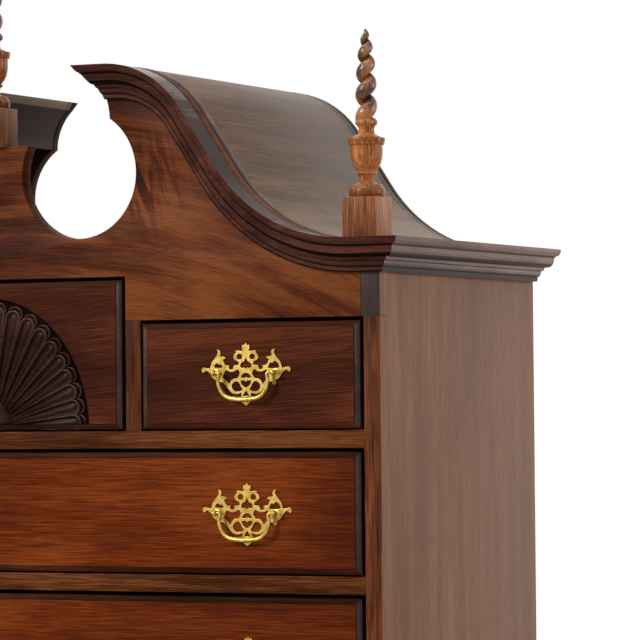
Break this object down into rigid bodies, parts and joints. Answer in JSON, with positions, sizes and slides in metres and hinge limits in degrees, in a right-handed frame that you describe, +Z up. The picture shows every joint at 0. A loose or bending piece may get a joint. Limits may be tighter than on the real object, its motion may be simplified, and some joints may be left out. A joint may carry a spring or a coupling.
{
  "type": "highboy",
  "caption": "Tall chest of drawers on a lower case with cabriole legs, with a broken swan-neck hood, carved fan drawers, spiral finials and brass bail pulls.",
  "frame": {"origin": "on the floor, under the middle of the feet", "axes": "+Z up, front of the highboy towards -Y, width along X"},
  "size_m": [1.1306, 0.5396, 2.2385],
  "materials": {
    "case_wood": "satin polished figured mahogany",
    "drawer_wood": "satin polished figured mahogany",
    "side_wood": "worn greyish brown mahogany",
    "turned_wood": "lighter polished mahogany",
    "inner_wood": "unfinished pine",
    "brass": "aged satin brass"
  },
  "bodies": {
    "case": {"upper_side_left": "side_wood", "upper_side_right": "side_wood", "frieze_blocks": "case_wood", "upper_back": "inner_wood", "upper_rails": "case_wood", "upper_dividers": "case_wood", "upper_runners": "inner_wood", "tympanum": "case_wood", "swan_neck_left": "case_wood", "swan_neck_right": "case_wood", "side_cornices": "side_wood", "hood_roofs": "side_wood", "hood_cove_boards": "side_wood", "hood_back": "inner_wood", "upper_top": "inner_wood", "plinths": "turned_wood", "finials": "turned_wood", "waist_moulding": "case_wood", "lower_sides": "side_wood", "lower_back": "inner_wood", "lower_rails": "case_wood", "lower_runners": "inner_wood", "apron": "case_wood", "legs": "case_wood"},
    "small_drawer_left": {"small_drawer_left": "drawer_wood", "small_drawer_left_plates": "brass"},
    "small_drawer_right": {"small_drawer_right": "drawer_wood", "small_drawer_right_plates": "brass"},
    "upper_fan_drawer": {"upper_fan_drawer": "drawer_wood", "upper_fan_knob": "brass"},
    "long_drawer_1": {"long_drawer_1": "drawer_wood", "long_drawer_1_plates": "brass"},
    "long_drawer_2": {"long_drawer_2": "drawer_wood", "long_drawer_2_plates": "brass"},
    "long_drawer_3": {"long_drawer_3": "drawer_wood", "long_drawer_3_plates": "brass"},
    "long_drawer_4": {"long_drawer_4": "drawer_wood", "long_drawer_4_plates": "brass"},
    "lower_long_drawer": {"lower_long_drawer": "drawer_wood", "lower_long_drawer_plates": "brass"},
    "lower_drawer_left": {"lower_drawer_left": "drawer_wood", "lower_drawer_left_plates": "brass"},
    "lower_drawer_right": {"lower_drawer_right": "drawer_wood", "lower_drawer_right_plates": "brass"},
    "lower_fan_drawer": {"lower_fan_drawer": "drawer_wood", "lower_fan_knob": "brass"},
    "small_drawer_left_bail": {"small_drawer_left_bail": "brass"},
    "small_drawer_right_bail": {"small_drawer_right_bail": "brass"},
    "long_drawer_1_left_bail": {"long_drawer_1_left_bail": "brass"},
    "long_drawer_1_right_bail": {"long_drawer_1_right_bail": "brass"},
    "long_drawer_2_left_bail": {"long_drawer_2_left_bail": "brass"},
    "long_drawer_2_right_bail": {"long_drawer_2_right_bail": "brass"},
    "long_drawer_3_left_bail": {"long_drawer_3_left_bail": "brass"},
    "long_drawer_3_right_bail": {"long_drawer_3_right_bail": "brass"},
    "long_drawer_4_left_bail": {"long_drawer_4_left_bail": "brass"},
    "long_drawer_4_right_bail": {"long_drawer_4_right_bail": "brass"},
    "lower_long_drawer_left_bail": {"lower_long_drawer_left_bail": "brass"},
    "lower_long_drawer_right_bail": {"lower_long_drawer_right_bail": "brass"},
    "lower_drawer_left_bail": {"lower_drawer_left_bail": "brass"},
    "lower_drawer_right_bail": {"lower_drawer_right_bail": "brass"}
  },
  "joints": [
    {"name": "small_drawer_left_slide", "type": "slide", "parent": "case", "child": "small_drawer_left", "axis": [0, -1, 0], "range_m": [0, 0.3]},
    {"name": "small_drawer_right_slide", "type": "slide", "parent": "case", "child": "small_drawer_right", "axis": [0, -1, 0], "range_m": [0, 0.3]},
    {"name": "upper_fan_drawer_slide", "type": "slide", "parent": "case", "child": "upper_fan_drawer", "axis": [0, -1, 0], "range_m": [0, 0.3]},
    {"name": "long_drawer_1_slide", "type": "slide", "parent": "case", "child": "long_drawer_1", "axis": [0, -1, 0], "range_m": [0, 0.3]},
    {"name": "long_drawer_2_slide", "type": "slide", "parent": "case", "child": "long_drawer_2", "axis": [0, -1, 0], "range_m": [0, 0.3]},
    {"name": "long_drawer_3_slide", "type": "slide", "parent": "case", "child": "long_drawer_3", "axis": [0, -1, 0], "range_m": [0, 0.3]},
    {"name": "long_drawer_4_slide", "type": "slide", "parent": "case", "child": "long_drawer_4", "axis": [0, -1, 0], "range_m": [0, 0.3]},
    {"name": "lower_long_drawer_slide", "type": "slide", "parent": "case", "child": "lower_long_drawer", "axis": [0, -1, 0], "range_m": [0, 0.3]},
    {"name": "lower_drawer_left_slide", "type": "slide", "parent": "case", "child": "lower_drawer_left", "axis": [0, -1, 0], "range_m": [0, 0.3]},
    {"name": "lower_drawer_right_slide", "type": "slide", "parent": "case", "child": "lower_drawer_right", "axis": [0, -1, 0], "range_m": [0, 0.3]},
    {"name": "lower_fan_drawer_slide", "type": "slide", "parent": "case", "child": "lower_fan_drawer", "axis": [0, -1, 0], "range_m": [0, 0.3]},
    {"name": "small_drawer_left_bail_hinge", "type": "hinge", "parent": "small_drawer_left", "child": "small_drawer_left_bail", "pos_m": [-0.344, -0.231, 1.72615], "axis": [-1, 0, 0], "range_deg": [-10, 100]},
    {"name": "small_drawer_right_bail_hinge", "type": "hinge", "parent": "small_drawer_right", "child": "small_drawer_right_bail", "pos_m": [0.344, -0.231, 1.72615], "axis": [-1, 0, 0], "range_deg": [-10, 100]},
    {"name": "long_drawer_1_left_bail_hinge", "type": "hinge", "parent": "long_drawer_1", "child": "long_drawer_1_left_bail", "pos_m": [-0.344, -0.231, 1.56445], "axis": [-1, 0, 0], "range_deg": [-10, 100]},
    {"name": "long_drawer_1_right_bail_hinge", "type": "hinge", "parent": "long_drawer_1", "child": "long_drawer_1_right_bail", "pos_m": [0.344, -0.231, 1.56445], "axis": [-1, 0, 0], "range_deg": [-10, 100]},
    {"name": "long_drawer_2_left_bail_hinge", "type": "hinge", "parent": "long_drawer_2", "child": "long_drawer_2_left_bail", "pos_m": [-0.344, -0.231, 1.3882], "axis": [-1, 0, 0], "range_deg": [-10, 100]},
    {"name": "long_drawer_2_right_bail_hinge", "type": "hinge", "parent": "long_drawer_2", "child": "long_drawer_2_right_bail", "pos_m": [0.344, -0.231, 1.3882], "axis": [-1, 0, 0], "range_deg": [-10, 100]},
    {"name": "long_drawer_3_left_bail_hinge", "type": "hinge", "parent": "long_drawer_3", "child": "long_drawer_3_left_bail", "pos_m": [-0.344, -0.231, 1.1931], "axis": [-1, 0, 0], "range_deg": [-10, 100]},
    {"name": "long_drawer_3_right_bail_hinge", "type": "hinge", "parent": "long_drawer_3", "child": "long_drawer_3_right_bail", "pos_m": [0.344, -0.231, 1.1931], "axis": [-1, 0, 0], "range_deg": [-10, 100]},
    {"name": "long_drawer_4_left_bail_hinge", "type": "hinge", "parent": "long_drawer_4", "child": "long_drawer_4_left_bail", "pos_m": [-0.344, -0.231, 0.979], "axis": [-1, 0, 0], "range_deg": [-10, 100]},
    {"name": "long_drawer_4_right_bail_hinge", "type": "hinge", "parent": "long_drawer_4", "child": "long_drawer_4_right_bail", "pos_m": [0.344, -0.231, 0.979], "axis": [-1, 0, 0], "range_deg": [-10, 100]},
    {"name": "lower_long_drawer_left_bail_hinge", "type": "hinge", "parent": "lower_long_drawer", "child": "lower_long_drawer_left_bail", "pos_m": [-0.344, -0.257, 0.7763], "axis": [-1, 0, 0], "range_deg": [-10, 100]},
    {"name": "lower_long_drawer_right_bail_hinge", "type": "hinge", "parent": "lower_long_drawer", "child": "lower_long_drawer_right_bail", "pos_m": [0.344, -0.257, 0.7763], "axis": [-1, 0, 0], "range_deg": [-10, 100]},
    {"name": "lower_drawer_left_bail_hinge", "type": "hinge", "parent": "lower_drawer_left", "child": "lower_drawer_left_bail", "pos_m": [-0.3345, -0.257, 0.6045], "axis": [-1, 0, 0], "range_deg": [-10, 100]},
    {"name": "lower_drawer_right_bail_hinge", "type": "hinge", "parent": "lower_drawer_right", "child": "lower_drawer_right_bail", "pos_m": [0.3345, -0.257, 0.6045], "axis": [-1, 0, 0], "range_deg": [-10, 100]}
  ]
}
